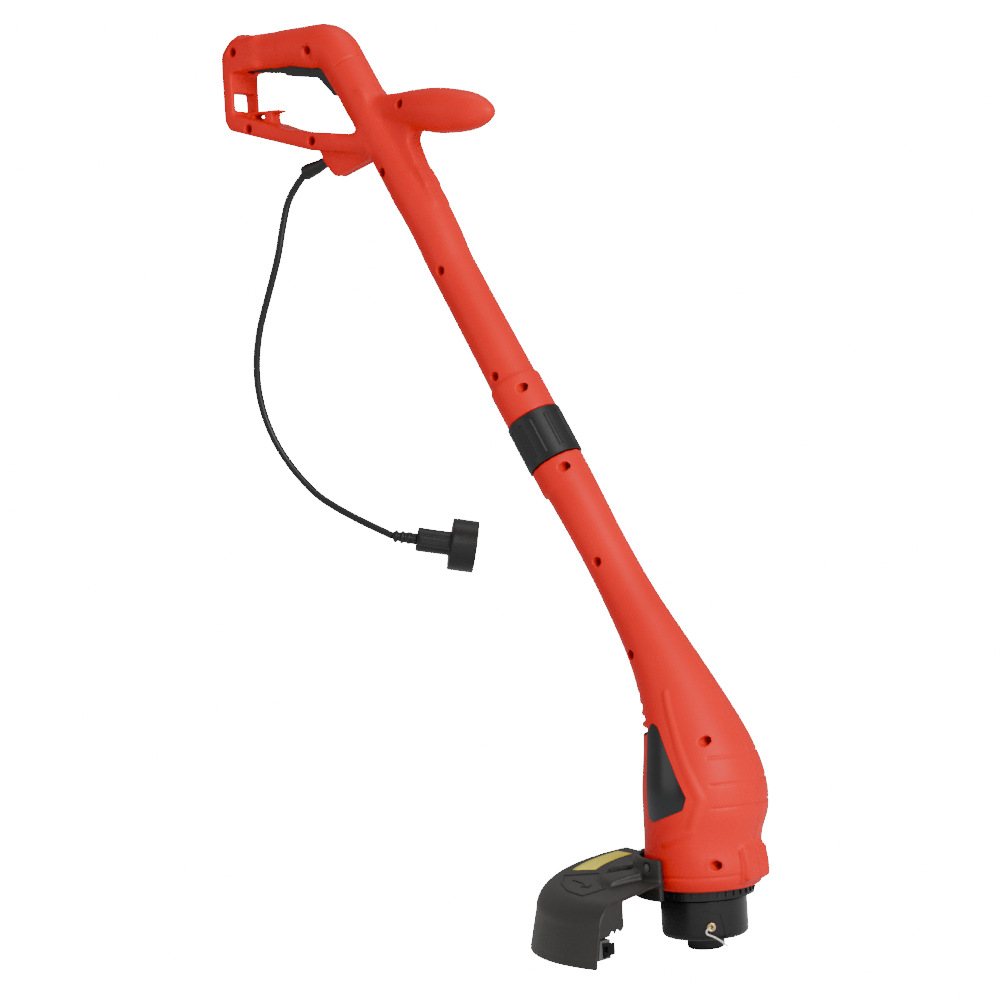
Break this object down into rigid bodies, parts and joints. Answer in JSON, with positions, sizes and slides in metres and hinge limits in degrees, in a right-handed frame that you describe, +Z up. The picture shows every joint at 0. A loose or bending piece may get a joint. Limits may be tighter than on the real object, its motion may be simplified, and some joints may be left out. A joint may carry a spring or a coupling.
{
  "type": "string trimmer",
  "caption": "Corded string trimmer: D-handle with trigger, front handle, tubular shaft, twist collar, motor housing, bump-feed line head and guard.",
  "frame": {"origin": "middle of the rear grip, on the plane of symmetry", "axes": "+X forward towards the cutting head, +Z up, parallel to the motor axis, +Y to the user's left"},
  "size_m": [0.6124, 0.303, 0.9448],
  "materials": {
    "red_shell": "satin moulded",
    "black_gloss": "glossy moulded",
    "trigger_black": "matte moulded",
    "guard_grey": "matte, faintly scuffed",
    "black_rubber": "soft PVC",
    "zinc_screw": "dark zinc",
    "spring_steel": "bright",
    "contact_brass": "bright",
    "inner_plastic": "moulded",
    "lead_grey": "soft PVC",
    "tube_steel": "drawn",
    "core_steel": "ground",
    "copper": "enamelled",
    "carbon": "pressed carbon",
    "nylon_line": "extruded nylon",
    "label_yellow": "printed film",
    "label_black": "printed film"
  },
  "bodies": {
    "upper_unit": {"upper_shell_right": "red_shell", "upper_shell_left": "red_shell", "upper_shell_screws": "zinc_screw", "trigger_pin": "zinc_screw", "trigger_spring": "spring_steel", "switch_body": "inner_plastic", "cord_boot": "black_rubber", "cord_clamp": "inner_plastic", "cord_clamp_screws": "zinc_screw", "terminal_block": "inner_plastic", "upper_lead": "lead_grey", "swivel_tube": "tube_steel", "power_cord": "black_rubber", "plug_tail": "black_rubber", "plug_body": "black_rubber", "plug_blades": "contact_brass"},
    "trigger_lever": {"trigger": "trigger_black"},
    "switch_button": {"switch_plunger": "inner_plastic"},
    "collar": {"lock_collar": "black_gloss"},
    "lower_unit": {"lower_shell_right": "red_shell", "lower_shell_left": "red_shell", "lower_shell_screws": "zinc_screw", "detent_ring": "inner_plastic", "lower_lead": "lead_grey", "field_core": "core_steel", "field_coils": "copper", "brush_frame": "inner_plastic", "carbon_brushes": "carbon", "brush_springs": "spring_steel", "upper_bearing": "core_steel", "lower_bearing": "core_steel", "motor_screws": "zinc_screw", "bottom_ring": "black_gloss", "guard": "guard_grey", "guard_screws": "zinc_screw", "cutter_holder": "inner_plastic", "cutter_blade": "spring_steel", "cutter_screw": "zinc_screw", "guard_label": "label_yellow", "rating_label": "label_black"},
    "rotor": {"rotor_shaft": "core_steel", "armature_core": "core_steel", "armature_windings": "copper", "commutator": "copper", "cooling_fan": "inner_plastic", "drive_nut": "tube_steel", "spool_housing": "black_gloss", "spool_cover": "black_gloss", "line_eyelets": "contact_brass", "line_tails": "nylon_line", "spool_spring": "spring_steel"},
    "bump_feed": {"bump_knob": "black_gloss", "spool": "inner_plastic", "wound_line": "nylon_line"}
  },
  "joints": [
    {"name": "trigger_squeeze", "type": "hinge", "parent": "upper_unit", "child": "trigger_lever", "pos_m": [-0.054, 0, -0.012], "axis": [0, -1, 0], "range_deg": [0, 4.5], "stiffness_Nm_per_rad": 3, "springref_deg": -5.73, "deforming": ["trigger_spring"]},
    {"name": "switch_press", "type": "slide", "parent": "upper_unit", "child": "switch_button", "axis": [0, 0, 1], "range_m": [0, 0.0036]},
    {"name": "collar_twist", "type": "hinge", "parent": "upper_unit", "child": "collar", "pos_m": [0.28669, 0, -0.40328], "axis": [0.4939, 0, -0.8695], "range_deg": [0, 45]},
    {"name": "head_swivel", "type": "hinge", "parent": "upper_unit", "child": "lower_unit", "pos_m": [0.31238, 0, -0.44849], "axis": [0.4939, 0, -0.8695], "range_deg": [0, 180]},
    {"name": "head_spin", "type": "hinge", "parent": "lower_unit", "child": "rotor", "pos_m": [0.45658, 0, -0.92199], "axis": [0, 0, 1], "continuous": true},
    {"name": "bump_press", "type": "slide", "parent": "rotor", "child": "bump_feed", "axis": [0, 0, 1], "range_m": [0, 0.004], "stiffness_N_per_m": 2000, "springref_m": -0.004, "deforming": ["spool_spring"]}
  ],
  "couplings": [
    {"joint": "switch_press", "follows": "trigger_squeeze", "m_per_rad": 0.044}
  ]
}
